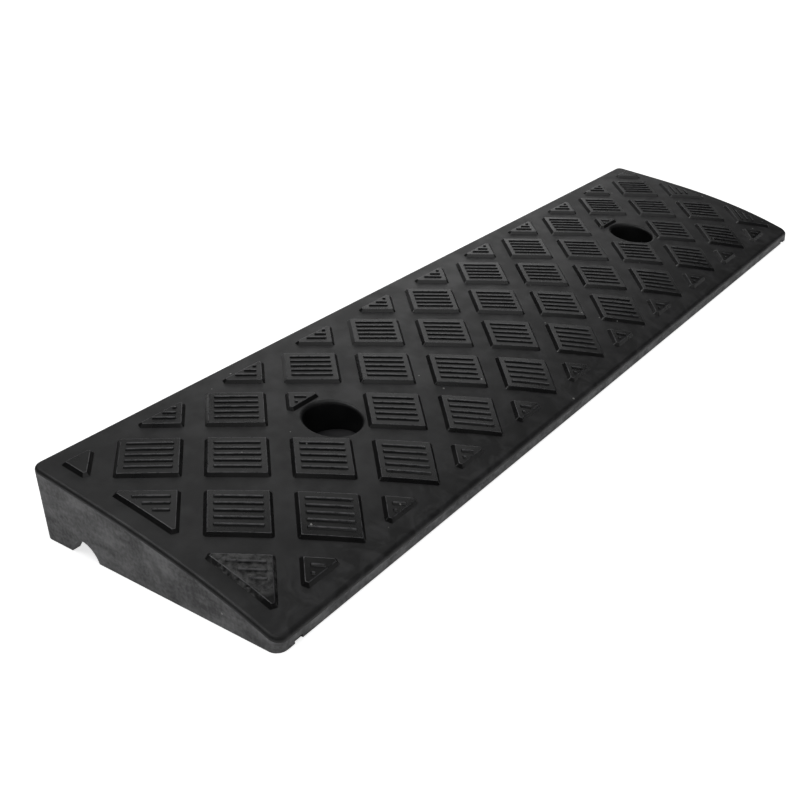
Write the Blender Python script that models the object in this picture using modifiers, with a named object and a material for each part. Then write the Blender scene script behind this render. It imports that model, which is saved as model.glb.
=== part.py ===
"""A one-metre rubber kerb ramp with a raised diamond tread, hollow underneath.

The ramp is one compression moulding in black rubber. Its crown rises in a shallow curve
from a low nose on the road to the height of the kerb. Two anchor holes go through it, and
a steel washer is bonded to the floor of each, for the bolt that holds the ramp down.

X runs along the kerb, Y from the road to the kerb and Z up. The origin lies on the ground,
in the middle of the footprint. The tread is drawn flat, as (along the kerb, up the slope,
out of the surface), and is then laid on the crown.
"""

import bisect
import math

import bmesh
import bpy
from mathutils import Matrix, Vector

# Overall size
LENGTH = 1.000
WIDTH = 0.250
KERB_HEIGHT = 0.065
NOSE_HEIGHT = 0.011
NOSE_SLOPE = math.radians(22.0)
KERB_SLOPE = math.radians(8.0)
CROWN_FACETS = 8
FINE_STEPS = 400
CORNER_RADIUS = 0.009
CORNER_FACETS = 4
EDGE_RADIUS = 0.0045
EDGE_FACETS = 3

# Tread pads, squares that stand on one corner
PAD_PITCH = 0.068
PAD_SIDE = 0.0516
PAD_HEIGHT = 0.0028
PAD_DRAFT = 0.0026
PAD_CHAMFER = 0.0010
TIP_CUT = 0.0075
FIRST_ROW = 0.0055
END_MARGIN = 0.0163
NOSE_MARGIN = 0.0170
KERB_MARGIN = 0.0164
SMALLEST_PIECE = 0.005
SMALLEST_SIDE = 0.002
SMALLEST_FACET = 0.0003

# Grip ribs on the pads
RIBS = 5
RIB_PITCH = 0.00785
RIB_LENGTH = 0.0375
RIB_WIDTH = 0.0029
RIB_HEIGHT = 0.0013
RIB_DRAFT = 0.0008
RIB_SETBACK = 0.0048
END_SETBACK = 0.0068
SHORTEST_RIB = 0.0028
SHORTEST_AT_END = 0.0065

# Anchor holes, each in place of one pad
HOLE_ROW = 3
HOLE_COLUMN = 6
HOLE_FROM_NOSE = 0.127
COUNTERBORE_RADIUS = 0.0253
RIM_RADIUS = 0.0032
RIM_STEPS = 3
RIM_STEP = math.radians(22.0)
HOLE_FACETS = 32
REMNANT_FROM_HOLE = 0.0290
BOLT_CLEARANCE_RADIUS = 0.009
BOSS_RADIUS = 0.036

# Anchor washers, one bonded to the floor of each counterbore
WASHER_BORE_RADIUS = 0.007
WASHER_THICKNESS = 0.004
WASHER_SEAT_HEIGHT = 0.018
WASHER_CHAMFER = 0.0005
CLEARANCE = 0.0003

# Hollow underside, in as many columns of cells as come nearest to the cell length
WALL = 0.007
CROWN_THICKNESS = 0.013
WEB = 0.008
NOSE_SOLID = 0.030
CELL_LENGTH = 0.063
CELL_ROWS = 3
CELL_CORNER = 0.004
CELL_DRAFT = math.radians(1.0)

# Cable channel along the kerb side
CHANNEL_CENTRE_FROM_NOSE = 0.199
CHANNEL_WIDTH = 0.032
CHANNEL_HEIGHT = 0.0142
CHANNEL_FACETS = 4

# Shape of the channel's arch, in shares of its half width and of its height
CREST_SHIFT = 0.06
CREST_TO_KERB = 0.34
CREST_TO_NOSE = 0.53
KERB_FOOT_LEAN = 0.34
KERB_FOOT_RISE = 0.53
NOSE_FOOT_LEAN = 0.08
NOSE_FOOT_RISE = 0.46

# Lifting notches under the nose
NOTCH_FROM_END = 0.016
NOTCH_WIDTH = 0.008
NOTCH_HEIGHT = 0.004
NOTCH_DEPTH = 0.010

# Cutters and sunken roots run this far past the surface that they meet
OVERRUN = 0.005
ROOT = 0.001

HALF_PITCH = PAD_PITCH / math.sqrt(2.0)
HOLE_X = HOLE_COLUMN * HALF_PITCH
HOLE_Y = HOLE_FROM_NOSE - WIDTH / 2.0
WASHER_RADIUS = COUNTERBORE_RADIUS - CLEARANCE


# Crown

def crown_height(from_nose):
    """Height of the crown, a cubic between the nose and the kerb with a set slope at each."""
    u = from_nose / WIDTH
    rise_at_nose = math.tan(NOSE_SLOPE) * WIDTH
    rise_at_kerb = math.tan(KERB_SLOPE) * WIDTH
    return (
        NOSE_HEIGHT * (1.0 - 3.0 * u * u + 2.0 * u ** 3)
        + KERB_HEIGHT * (3.0 * u * u - 2.0 * u ** 3)
        + rise_at_nose * (u - 2.0 * u * u + u ** 3)
        + rise_at_kerb * (u ** 3 - u * u)
    )


def crown_corners(count):
    """Points (from nose, height) that cut the crown into so many flat facets."""
    return [Vector((WIDTH * k / count, crown_height(WIDTH * k / count))) for k in range(count + 1)]


def reaches(corners):
    """Distance up the slope of each corner."""
    found = [0.0]
    for low, high in zip(corners, corners[1:]):
        found.append(found[-1] + (high - low).length)
    return found


FINE = crown_corners(FINE_STEPS)
FINE_REACH = reaches(FINE)
SLOPE_LENGTH = FINE_REACH[-1]


def crown_frame(reach):
    """Foot (from nose, height) and outward normal of the crown, at a distance up the slope."""
    k = min(max(bisect.bisect_right(FINE_REACH, reach) - 1, 0), FINE_STEPS - 1)
    along = (FINE[k + 1] - FINE[k]).normalized()
    foot = FINE[k] + along * (reach - FINE_REACH[k])
    return foot, Vector((-along.y, along.x))


def reach_up_slope(from_nose):
    """Distance up the slope of the crown's point at a distance from the nose."""
    k = min(int(from_nose / WIDTH * FINE_STEPS), FINE_STEPS - 1)
    share = from_nose / WIDTH * FINE_STEPS - k
    return FINE_REACH[k] + share * (FINE_REACH[k + 1] - FINE_REACH[k])


CROWN = crown_corners(CROWN_FACETS)
CROWN_REACH = [reach_up_slope(corner.x) for corner in CROWN]
TREAD_BENDS = [(low + high) / 2.0 for low, high in zip(CROWN_REACH, CROWN_REACH[1:])]


def laid_on_crown(point):
    """Lay a point of the flat tread on the crown, straight from one bend line to the next."""
    x, reach, out = point
    bends = [0.0] + TREAD_BENDS + [SLOPE_LENGTH]
    k = min(max(bisect.bisect_right(bends, reach) - 1, 0), len(bends) - 2)
    share = (reach - bends[k]) / (bends[k + 1] - bends[k])
    low_foot, low_normal = crown_frame(bends[k])
    high_foot, high_normal = crown_frame(bends[k + 1])
    place = low_foot.lerp(high_foot, share) + low_normal.lerp(high_normal, share) * out
    return Vector((x, place.x - WIDTH / 2.0, place.y))


def crown_matrix(x, reach):
    """Axes along the kerb, up the slope and out of the crown, with their origin on it."""
    foot, normal = crown_frame(reach)
    return Matrix((
        (1.0, 0.0, 0.0, x),
        (0.0, normal.y, normal.x, foot.x - WIDTH / 2.0),
        (0.0, -normal.x, normal.y, foot.y),
        (0.0, 0.0, 0.0, 1.0),
    ))


# Scene and shared tools

def new_collection(name):
    """A collection of its own, linked to the scene."""
    collection = bpy.data.collections.new(name)
    bpy.context.scene.collection.children.link(collection)
    return collection


for old in list(bpy.data.objects):
    bpy.data.objects.remove(old, do_unlink=True)
PARTS = new_collection("kerb_ramp")
CUTTERS = new_collection("cutters")


def place_in(collection, thing):
    """Link an object, and mark it as a guide where it only shapes another one."""
    collection.objects.link(thing)
    if collection is CUTTERS:
        thing.hide_render = True
        thing.display_type = "WIRE"
    return thing


def object_from(shape, name):
    """Turn a bmesh into a guide object, with its faces pointing out."""
    bmesh.ops.recalc_face_normals(shape, faces=shape.faces[:])
    mesh = bpy.data.meshes.new(name)
    shape.to_mesh(mesh)
    shape.free()
    return place_in(CUTTERS, bpy.data.objects.new(name, mesh))


def append_shape(target, shape):
    """Move the contents of one bmesh into another."""
    mesh = bpy.data.meshes.new("piece")
    shape.to_mesh(mesh)
    shape.free()
    target.from_mesh(mesh)
    bpy.data.meshes.remove(mesh)


def evaluated_mesh(thing):
    """The mesh that an object has after its modifiers."""
    view = bpy.context.evaluated_depsgraph_get()
    return bpy.data.meshes.new_from_object(thing.evaluated_get(view))


def baked(thing):
    """Replace an object's mesh by the one that its modifiers make."""
    mesh = evaluated_mesh(thing)
    thing.modifiers.clear()
    thing.data = mesh
    return thing


def prism_along_x(name, outline, half_length, corner_handles=None):
    """A solid of the outline (from nose, height), which runs along X by half_length each way."""
    curve = bpy.data.curves.new(name, "CURVE")
    curve.dimensions = "2D"
    curve.fill_mode = "BOTH"
    curve.extrude = half_length
    kind = "BEZIER" if corner_handles else "POLY"
    spline = curve.splines.new(kind)
    spline.use_cyclic_u = True
    if corner_handles:
        spline.resolution_u = CHANNEL_FACETS
        spline.bezier_points.add(len(outline) - 1)
        for point, place, handles in zip(spline.bezier_points, outline, corner_handles):
            point.handle_left_type = "FREE"
            point.handle_right_type = "FREE"
            point.co = (*place, 0.0)
            point.handle_left = (*handles[0], 0.0)
            point.handle_right = (*handles[1], 0.0)
    else:
        spline.points.add(len(outline) - 1)
        for point, place in zip(spline.points, outline):
            point.co = (*place, 0.0, 1.0)
    drawn = place_in(CUTTERS, bpy.data.objects.new(name, curve))
    shape = bmesh.new()
    shape.from_mesh(evaluated_mesh(drawn))
    bpy.data.objects.remove(drawn, do_unlink=True)
    bmesh.ops.remove_doubles(shape, verts=shape.verts[:], dist=1e-6)
    bmesh.ops.dissolve_limit(
        shape, angle_limit=math.radians(0.1), verts=shape.verts[:], edges=shape.edges[:]
    )
    upright = Matrix(((0, 0, 1), (1, 0, 0), (0, 1, 0))).to_4x4()
    bmesh.ops.transform(shape, matrix=upright, verts=shape.verts[:])
    bmesh.ops.translate(shape, vec=(0.0, -WIDTH / 2.0, 0.0), verts=shape.verts[:])
    return object_from(shape, name)


def round_edges(shape, edges, width, segments):
    """Round the given edges of a bmesh."""
    bmesh.ops.bevel(
        shape,
        geom=edges,
        offset=width,
        offset_type="OFFSET",
        segments=segments,
        profile=0.5,
        affect="EDGES",
        clamp_overlap=False,
    )


def turned(name, profile, facets, collection=CUTTERS):
    """A turned solid from a profile (radius, height) that runs down its outer side."""
    shape = bmesh.new()
    corners = [shape.verts.new((radius, 0.0, height)) for radius, height in profile]
    for start, end in zip(corners, corners[1:]):
        shape.edges.new((start, end))
    if min(radius for radius, height in profile) > 0.0:
        shape.edges.new((corners[-1], corners[0]))
    mesh = bpy.data.meshes.new(name)
    shape.to_mesh(mesh)
    shape.free()
    thing = place_in(collection, bpy.data.objects.new(name, mesh))
    screw = thing.modifiers.new("turn", "SCREW")
    screw.steps = facets
    screw.render_steps = facets
    screw.use_merge_vertices = True
    screw.merge_threshold = 0.00001
    screw.use_normal_calculate = False
    return thing


def combine(target, other, operation):
    """Join another solid to the target, or cut it away."""
    step = target.modifiers.new(other.name, "BOOLEAN")
    step.operation = operation
    step.solver = "EXACT"
    step.object = other
    return target


def box(shape, low, high, draft=0.0):
    """Add a block to a bmesh, drawn in by draft on each side at its top."""
    low, high = Vector(low), Vector(high)
    made = bmesh.ops.create_cube(shape, size=1.0)["verts"]
    bmesh.ops.scale(shape, vec=high - low, verts=made)
    bmesh.ops.translate(shape, vec=(low + high) / 2.0, verts=made)
    middle = (low + high) / 2.0
    for vert in made:
        if vert.co.z > middle.z:
            vert.co.x -= math.copysign(draft, vert.co.x - middle.x)
            vert.co.y -= math.copysign(draft, vert.co.y - middle.y)
    return made


# Moulding block

def moulding_block():
    """The ramp's outer form, with round corners and a round edge all along the top."""
    outline = [Vector((WIDTH, 0.0)), Vector((0.0, 0.0))] + CROWN
    block = prism_along_x("ramp_body", outline, LENGTH / 2.0)
    shape = bmesh.new()
    shape.from_mesh(block.data)
    corners = []
    nearly_upright = 0.99
    for edge in shape.edges:
        direction = (edge.verts[0].co - edge.verts[1].co).normalized()
        if abs(direction.z) > nearly_upright:
            corners.append(edge)
    round_edges(shape, corners, CORNER_RADIUS, CORNER_FACETS)
    rim = []
    half_way = 0.5
    for edge in shape.edges:
        tilts = sorted(abs(face.normal.z) for face in edge.link_faces)
        above = min(vert.co.z for vert in edge.verts) > NOSE_HEIGHT / 2.0
        if above and tilts[0] < half_way < tilts[1]:
            rim.append(edge)
    round_edges(shape, rim, EDGE_RADIUS, EDGE_FACETS)
    shape.to_mesh(block.data)
    shape.free()
    CUTTERS.objects.unlink(block)
    block.hide_render = False
    block.display_type = "TEXTURED"
    return place_in(PARTS, block)


# Tread

def pad_sites():
    """Sites of the tread's lattice, as (row, column, centre), and its last column."""
    spare = PAD_SIDE / math.sqrt(2.0) - SMALLEST_PIECE
    rows = math.ceil((SLOPE_LENGTH - KERB_MARGIN + spare - FIRST_ROW) / HALF_PITCH)
    columns = math.floor((LENGTH / 2.0 - END_MARGIN + spare) / HALF_PITCH)
    sites = []
    for row in range(rows):
        for column in range(-columns, columns + 1):
            if (row + column) % 2:
                centre = Vector((column * HALF_PITCH, FIRST_ROW + row * HALF_PITCH))
                sites.append((row, column, centre))
    return sites, columns


def margin_sides(row, column):
    """Sides that cut a pad off, as (direction out, distance, run of the leaning wall)."""
    end = LENGTH / 2.0 - END_MARGIN
    sides = [
        (Vector((-1.0, 0.0)), end, PAD_DRAFT),
        (Vector((1.0, 0.0)), end, PAD_DRAFT),
        (Vector((0.0, -1.0)), -NOSE_MARGIN, PAD_DRAFT),
        (Vector((0.0, 1.0)), SLOPE_LENGTH - KERB_MARGIN, PAD_DRAFT),
    ]
    if row == HOLE_ROW and abs(column) == HOLE_COLUMN:
        reach = reach_up_slope(HOLE_FROM_NOSE + REMNANT_FROM_HOLE)
        sides.append((Vector((0.0, -1.0)), -reach, PAD_DRAFT))
    return sides


def corner_point(out_a, distance_a, out_b, distance_b):
    """Where two sides meet, each given by its direction out and its distance."""
    span = out_a.x * out_b.y - out_a.y * out_b.x
    return Vector((
        distance_a * out_b.y - distance_b * out_a.y,
        distance_b * out_a.x - distance_a * out_b.x,
    )) / span


def sides_left(sides, shortest):
    """The sides that bound a pad's top, in order round it, without those that are too short.

    The list is empty where the sides that are left don't close.
    """
    form = [
        (Vector((x * LENGTH, y * LENGTH)), None)
        for x, y in ((-1, -1), (1, -1), (1, 1), (-1, 1))
    ]
    for index, (out, distance, run) in enumerate(sides):
        kept = []
        for (start, side), (end, _) in zip(form, form[1:] + form[:1]):
            room_at_start = distance - run - out.dot(start)
            room_at_end = distance - run - out.dot(end)
            if room_at_start >= 0.0:
                kept.append((start, side))
            if room_at_start * room_at_end < 0.0:
                crossing = start.lerp(end, room_at_start / (room_at_start - room_at_end))
                kept.append((crossing, index if room_at_start > 0.0 else side))
        form = kept
    lengths = {}
    for (start, side), (end, _) in zip(form, form[1:] + form[:1]):
        lengths[side] = lengths.get(side, 0.0) + (end - start).length
    found = [
        sides[side] for side, length in lengths.items() if side is not None and length > shortest
    ]
    found.sort(key=lambda side: math.atan2(side[0].y, side[0].x))
    pairs = zip(found, found[1:] + found[:1])
    closed = all(a[0].x * b[0].y > a[0].y * b[0].x for a, b in pairs)
    return found if closed else []


def with_cut_corners(sides):
    """The sides of a pad, with its right corners chamfered and its sharp tips cut off."""
    found = list(sides)
    for (out_a, distance_a, _), (out_b, distance_b, _) in zip(sides, sides[1:] + sides[:1]):
        bend = round(out_a.dot(out_b), 3)
        out = (out_a + out_b).normalized()
        tip = out.dot(corner_point(out_a, distance_a, out_b, distance_b))
        if bend < 0.0:
            found.append((out, tip - TIP_CUT, PAD_DRAFT))
        elif bend == 0.0:
            found.append((out, tip - PAD_CHAMFER, PAD_DRAFT * math.sqrt(2.0)))
    return found


def outline_at(sides, height):
    """Corners of a pad at a height over its foot, where the leaning walls have moved in."""
    moved = [(out, distance - run * height / PAD_HEIGHT) for out, distance, run in sides]
    return [corner_point(*side, *after) for side, after in zip(moved, moved[1:] + moved[:1])]


def add_pad(pads, row, column, centre):
    """One pad, its foot drawn up to a smaller top and cut back by the tread's margins."""
    square = []
    for across, up in ((1, 1), (-1, 1), (-1, -1), (1, -1)):
        out = Vector((across, up)).normalized()
        square.append((out, out.dot(centre) + PAD_SIDE / 2.0, PAD_DRAFT))
    sides = sides_left(square + margin_sides(row, column), SMALLEST_SIDE)
    sides = sides_left(with_cut_corners(sides), SMALLEST_FACET)
    if not sides:
        return
    foot = outline_at(sides, -ROOT)
    top = outline_at(sides, PAD_HEIGHT)
    bottom = pads.faces.new([pads.verts.new((*place, -ROOT)) for place in foot])
    grown = bmesh.ops.extrude_face_region(pads, geom=[bottom])["geom"]
    for vert in grown:
        if isinstance(vert, bmesh.types.BMVert):
            nearest = min(range(len(foot)), key=lambda k: (vert.co.xy - foot[k]).length)
            vert.co = (*top[nearest], PAD_HEIGHT)


def rib_span(start, along, row, column):
    """The stretch of a rib, as two distances from its middle, that its pad has room for."""
    low, high = -RIB_LENGTH / 2.0, RIB_LENGTH / 2.0
    for out, distance, run in margin_sides(row, column):
        slope = out.dot(along)
        room = distance - (END_SETBACK if out.x else RIB_SETBACK) - out.dot(start)
        if slope > 0.0:
            high = min(high, room / slope)
        elif slope < 0.0:
            low = max(low, room / slope)
    return low, high


def add_ribs(ribs, row, column, centre, last_column, shortest):
    """The ribs of one pad. In the last column they run the other way."""
    hand = -1.0 if column == last_column else 1.0
    along = Vector((hand, -1.0)).normalized()
    across = Vector((hand, 1.0)).normalized()
    turn = Matrix.Rotation(math.atan2(along.y, along.x), 4, "Z")
    foot = RIB_DRAFT * ROOT / RIB_HEIGHT
    half_width = RIB_WIDTH / 2.0 + foot
    for index in range(RIBS):
        start = centre + across * RIB_PITCH * (index - (RIBS - 1) / 2.0)
        low, high = rib_span(start, along, row, column)
        if high - low < shortest:
            continue
        half_length = (high - low) / 2.0 + foot
        shape = bmesh.new()
        box(
            shape,
            (-half_length, -half_width, PAD_HEIGHT - ROOT),
            (half_length, half_width, PAD_HEIGHT + RIB_HEIGHT),
            RIB_DRAFT + foot,
        )
        middle = start + along * (low + high) / 2.0
        place = crown_matrix(middle.x, middle.y) @ turn
        bmesh.ops.transform(shape, matrix=place, verts=shape.verts[:])
        append_shape(ribs, shape)


def tread_solids():
    """All pads, bent to the crown, and the straight ribs that stand on them."""
    pads, ribs = bmesh.new(), bmesh.new()
    sites, last_column = pad_sites()
    top_row = max(row for row, column, centre in sites)
    for row, column, centre in sites:
        add_pad(pads, row, column, centre)
        in_corner = row == top_row and abs(column) >= last_column - 1
        if not in_corner:
            shortest = SHORTEST_AT_END if abs(column) == last_column else SHORTEST_RIB
            add_ribs(ribs, row, column, centre, last_column, shortest)
    for reach in TREAD_BENDS:
        bmesh.ops.bisect_plane(
            pads,
            geom=pads.verts[:] + pads.edges[:] + pads.faces[:],
            dist=1e-6,
            plane_co=(0.0, reach, 0.0),
            plane_no=(0.0, 1.0, 0.0),
        )
    for vert in pads.verts:
        vert.co = laid_on_crown(vert.co)
    return object_from(pads, "pads"), object_from(ribs, "ribs")


# Anchor holes

def anchor_hole_cutter(name, x):
    """Counterbore with a rounded mouth, and the bolt hole in its floor, on one upright axis.

    The profile is drawn for a level top at the height of the kerb. Each point of the mouth
    is then lowered to the crown below it.
    """
    level = KERB_HEIGHT
    mouth = COUNTERBORE_RADIUS + RIM_RADIUS
    profile = [(0.0, level + 2.0 * RIM_RADIUS), (mouth + RIM_RADIUS, level + 2.0 * RIM_RADIUS)]
    for step in range(RIM_STEPS, -1, -1):
        turn = RIM_STEP * step
        radius = mouth - RIM_RADIUS * math.cos(turn)
        profile.append((radius, level + RIM_RADIUS * (math.sin(turn) - 1.0)))
    profile += [
        (COUNTERBORE_RADIUS, WASHER_SEAT_HEIGHT),
        (BOLT_CLEARANCE_RADIUS, WASHER_SEAT_HEIGHT),
        (BOLT_CLEARANCE_RADIUS, -OVERRUN),
        (0.0, -OVERRUN),
    ]
    cutter = baked(turned(name, profile, HOLE_FACETS))
    for vert in cutter.data.vertices:
        if vert.co.z > WASHER_SEAT_HEIGHT + CLEARANCE:
            vert.co.z -= level - crown_height(HOLE_FROM_NOSE + vert.co.y)
    cutter.location = (x, HOLE_Y, 0.0)
    return cutter


# Underside

def underside_cells():
    """The pockets under the crown, left open below, with a solid boss round each anchor."""
    columns = round((LENGTH - 2.0 * WALL + WEB) / (CELL_LENGTH + WEB))
    column_pitch = (LENGTH - 2.0 * WALL + WEB) / columns
    row_pitch = (WIDTH - WALL - NOSE_SOLID + WEB) / CELL_ROWS
    cells = bmesh.new()
    draft = math.tan(CELL_DRAFT) * (KERB_HEIGHT + OVERRUN)
    for column in range(columns):
        left = -LENGTH / 2.0 + WALL + column * column_pitch
        for row in range(CELL_ROWS):
            front = NOSE_SOLID - WIDTH / 2.0 + row * row_pitch
            shape = bmesh.new()
            box(
                shape,
                (left, front, -OVERRUN),
                (left + column_pitch - WEB, front + row_pitch - WEB, KERB_HEIGHT),
                draft,
            )
            upright = [
                edge for edge in shape.edges
                if abs(edge.verts[0].co.z - edge.verts[1].co.z) > OVERRUN
            ]
            round_edges(shape, upright, CELL_CORNER, 1)
            append_shape(cells, shape)
    pockets = object_from(cells, "cells")
    outline = [Vector((WIDTH, -2.0 * OVERRUN)), Vector((0.0, -2.0 * OVERRUN))]
    for reach in CROWN_REACH[::2]:
        foot, normal = crown_frame(reach)
        outline.append(foot - normal * CROWN_THICKNESS)
    combine(pockets, prism_along_x("core", outline, LENGTH / 2.0), "INTERSECT")
    bosses = bmesh.new()
    height = KERB_HEIGHT + 2.0 * OVERRUN
    for x in (-HOLE_X, HOLE_X):
        bmesh.ops.create_cone(
            bosses,
            cap_ends=True,
            segments=HOLE_FACETS,
            radius1=BOSS_RADIUS,
            radius2=BOSS_RADIUS + math.tan(CELL_DRAFT) * height,
            depth=height,
            matrix=Matrix.Translation((x, HOLE_Y, height / 2.0 - 2.0 * OVERRUN)),
        )
    combine(pockets, object_from(bosses, "bosses"), "DIFFERENCE")
    return baked(pockets)


def cable_channel():
    """A low arch, steeper on its kerb side, that runs the whole length."""
    half = CHANNEL_WIDTH / 2.0
    middle = CHANNEL_CENTRE_FROM_NOSE
    kerb_foot = Vector((middle + half, 0.0))
    nose_foot = Vector((middle - half, 0.0))
    crest = Vector((middle + CREST_SHIFT * half, CHANNEL_HEIGHT))
    below = Vector((0.0, -OVERRUN))
    lean = Vector((-KERB_FOOT_LEAN * half, KERB_FOOT_RISE * CHANNEL_HEIGHT))
    bulge = Vector((NOSE_FOOT_LEAN * half, NOSE_FOOT_RISE * CHANNEL_HEIGHT))
    to_kerb = Vector((CREST_TO_KERB * half, 0.0))
    to_nose = Vector((-CREST_TO_NOSE * half, 0.0))
    outline = [nose_foot + below, kerb_foot + below, kerb_foot, crest, nose_foot]
    handles = [
        (outline[0], outline[0]),
        (outline[1], outline[1]),
        (kerb_foot, kerb_foot + lean),
        (crest + to_kerb, crest + to_nose),
        (nose_foot + bulge, nose_foot),
    ]
    return prism_along_x("channel", outline, LENGTH / 2.0 + OVERRUN, handles)


def nose_notches():
    """Two small notches in the foot of the nose, one near each end."""
    shape = bmesh.new()
    for hand in (-1.0, 1.0):
        middle = hand * (LENGTH / 2.0 - NOTCH_FROM_END - NOTCH_WIDTH / 2.0)
        box(
            shape,
            (middle - NOTCH_WIDTH / 2.0, -WIDTH / 2.0 - OVERRUN, -OVERRUN),
            (middle + NOTCH_WIDTH / 2.0, -WIDTH / 2.0 + NOTCH_DEPTH, NOTCH_HEIGHT),
        )
    return object_from(shape, "notches")


# Materials and assembly

def material(name, colour, roughness, metallic):
    """A plain surface with a colour, a roughness and a metallic value."""
    made = bpy.data.materials.new(name)
    made.use_nodes = True
    surface = made.node_tree.nodes["Principled BSDF"]
    surface.inputs["Base Color"].default_value = (*colour, 1.0)
    surface.inputs["Roughness"].default_value = roughness
    surface.inputs["Metallic"].default_value = metallic
    return made


def make_ramp_body():
    """The rubber moulding."""
    body = moulding_block()
    pads, ribs = tread_solids()
    combine(body, pads, "UNION")
    combine(body, ribs, "UNION")
    combine(body, underside_cells(), "DIFFERENCE")
    combine(body, cable_channel(), "DIFFERENCE")
    combine(body, nose_notches(), "DIFFERENCE")
    for side, x in (("left", -HOLE_X), ("right", HOLE_X)):
        combine(body, anchor_hole_cutter(f"anchor_hole_{side}", x), "DIFFERENCE")
    body.data.materials.clear()
    body.data.materials.append(material("black_rubber", (0.026, 0.026, 0.028), 0.62, 0.0))
    return body


def make_washer(name, x, surface):
    """A steel washer in the floor of a counterbore."""
    edge = WASHER_CHAMFER
    profile = [
        (WASHER_BORE_RADIUS, WASHER_THICKNESS),
        (WASHER_RADIUS - edge, WASHER_THICKNESS),
        (WASHER_RADIUS, WASHER_THICKNESS - edge),
        (WASHER_RADIUS, edge),
        (WASHER_RADIUS - edge, 0.0),
        (WASHER_BORE_RADIUS, 0.0),
    ]
    washer = turned(name, profile, HOLE_FACETS, PARTS)
    washer.location = (x, HOLE_Y, WASHER_SEAT_HEIGHT + CLEARANCE)
    washer.data.materials.append(surface)
    baked(washer)
    washer.data.shade_smooth()
    washer.data.set_sharp_from_angle(angle=math.radians(35.0))
    return washer


make_ramp_body()
STEEL = material("dull_steel", (0.16, 0.16, 0.17), 0.45, 1.0)
make_washer("anchor_washer_left", -HOLE_X, STEEL)
make_washer("anchor_washer_right", HOLE_X, STEEL)
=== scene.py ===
import bisect
import math

import bmesh
import bpy
from mathutils import Matrix, Vector


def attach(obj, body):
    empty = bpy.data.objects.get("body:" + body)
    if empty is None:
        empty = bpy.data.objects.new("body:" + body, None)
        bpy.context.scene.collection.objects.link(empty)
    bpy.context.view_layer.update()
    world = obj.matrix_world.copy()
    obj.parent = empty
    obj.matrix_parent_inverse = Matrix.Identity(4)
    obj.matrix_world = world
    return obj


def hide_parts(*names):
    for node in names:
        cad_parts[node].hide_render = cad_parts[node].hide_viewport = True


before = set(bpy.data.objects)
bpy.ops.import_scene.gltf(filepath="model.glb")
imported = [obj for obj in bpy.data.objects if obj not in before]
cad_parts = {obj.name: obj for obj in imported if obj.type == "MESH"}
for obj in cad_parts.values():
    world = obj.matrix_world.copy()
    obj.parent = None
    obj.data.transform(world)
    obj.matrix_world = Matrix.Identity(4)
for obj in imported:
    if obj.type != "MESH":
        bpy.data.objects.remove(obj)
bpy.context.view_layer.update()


# Moulding block
# The real piece is one compression moulding in black rubber, pressed in a heated steel
# mould. This is its outer form: a crown that rises from a low nose to the kerb, with the
# round edge that the upper half of the mould leaves.

LENGTH = 1.000
WIDTH = 0.250
KERB_HEIGHT = 0.065
NOSE_HEIGHT = 0.011
NOSE_SLOPE = math.radians(22.0)
KERB_SLOPE = math.radians(8.0)
CROWN_STRIPS = 40
CORNER_RADIUS = 0.009
EDGE_RADIUS = 0.0034
CORNER_STEPS = 8
EDGE_STEPS = 6
CLEAR_OF_CORNER = 0.001
TABLE_STEPS = 400


def crown_height(from_nose):
    """Height of the crown, a cubic with a set slope at the nose and at the kerb."""
    u = from_nose / WIDTH
    rise_at_nose = math.tan(NOSE_SLOPE) * WIDTH
    rise_at_kerb = math.tan(KERB_SLOPE) * WIDTH
    return (
        NOSE_HEIGHT * (1.0 - 3.0 * u * u + 2.0 * u ** 3)
        + KERB_HEIGHT * (3.0 * u * u - 2.0 * u ** 3)
        + rise_at_nose * (u - 2.0 * u * u + u ** 3)
        + rise_at_kerb * (u ** 3 - u * u)
    )


CROWN_TABLE = [
    Vector((WIDTH * k / TABLE_STEPS, crown_height(WIDTH * k / TABLE_STEPS)))
    for k in range(TABLE_STEPS + 1)
]
REACH_TABLE = [0.0]
for low, high in zip(CROWN_TABLE, CROWN_TABLE[1:]):
    REACH_TABLE.append(REACH_TABLE[-1] + (high - low).length)
SLOPE_LENGTH = REACH_TABLE[-1]


def crown_frame(reach):
    """Foot (from nose, height) and outward normal of the crown, at a distance up the slope."""
    k = min(max(bisect.bisect_right(REACH_TABLE, reach) - 1, 0), TABLE_STEPS - 1)
    along = (CROWN_TABLE[k + 1] - CROWN_TABLE[k]).normalized()
    foot = CROWN_TABLE[k] + along * (reach - REACH_TABLE[k])
    return foot, Vector((-along.y, along.x))


def reach_up_slope(from_nose):
    """Distance up the slope of the crown's point at a distance from the nose."""
    k = min(int(from_nose / WIDTH * TABLE_STEPS), TABLE_STEPS - 1)
    share = from_nose / WIDTH * TABLE_STEPS - k
    return REACH_TABLE[k] + share * (REACH_TABLE[k + 1] - REACH_TABLE[k])


CROWN_REACH = [
    reach_up_slope(WIDTH * k / CROWN_STRIPS) for k in range(CROWN_STRIPS + 1)
]


def as_object(shape, name):
    """Turn a bmesh into an object in the scene."""
    bmesh.ops.recalc_face_normals(shape, faces=shape.faces[:])
    mesh = bpy.data.meshes.new(name)
    shape.to_mesh(mesh)
    shape.free()
    made = bpy.data.objects.new(name, mesh)
    bpy.context.scene.collection.objects.link(made)
    return made


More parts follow.
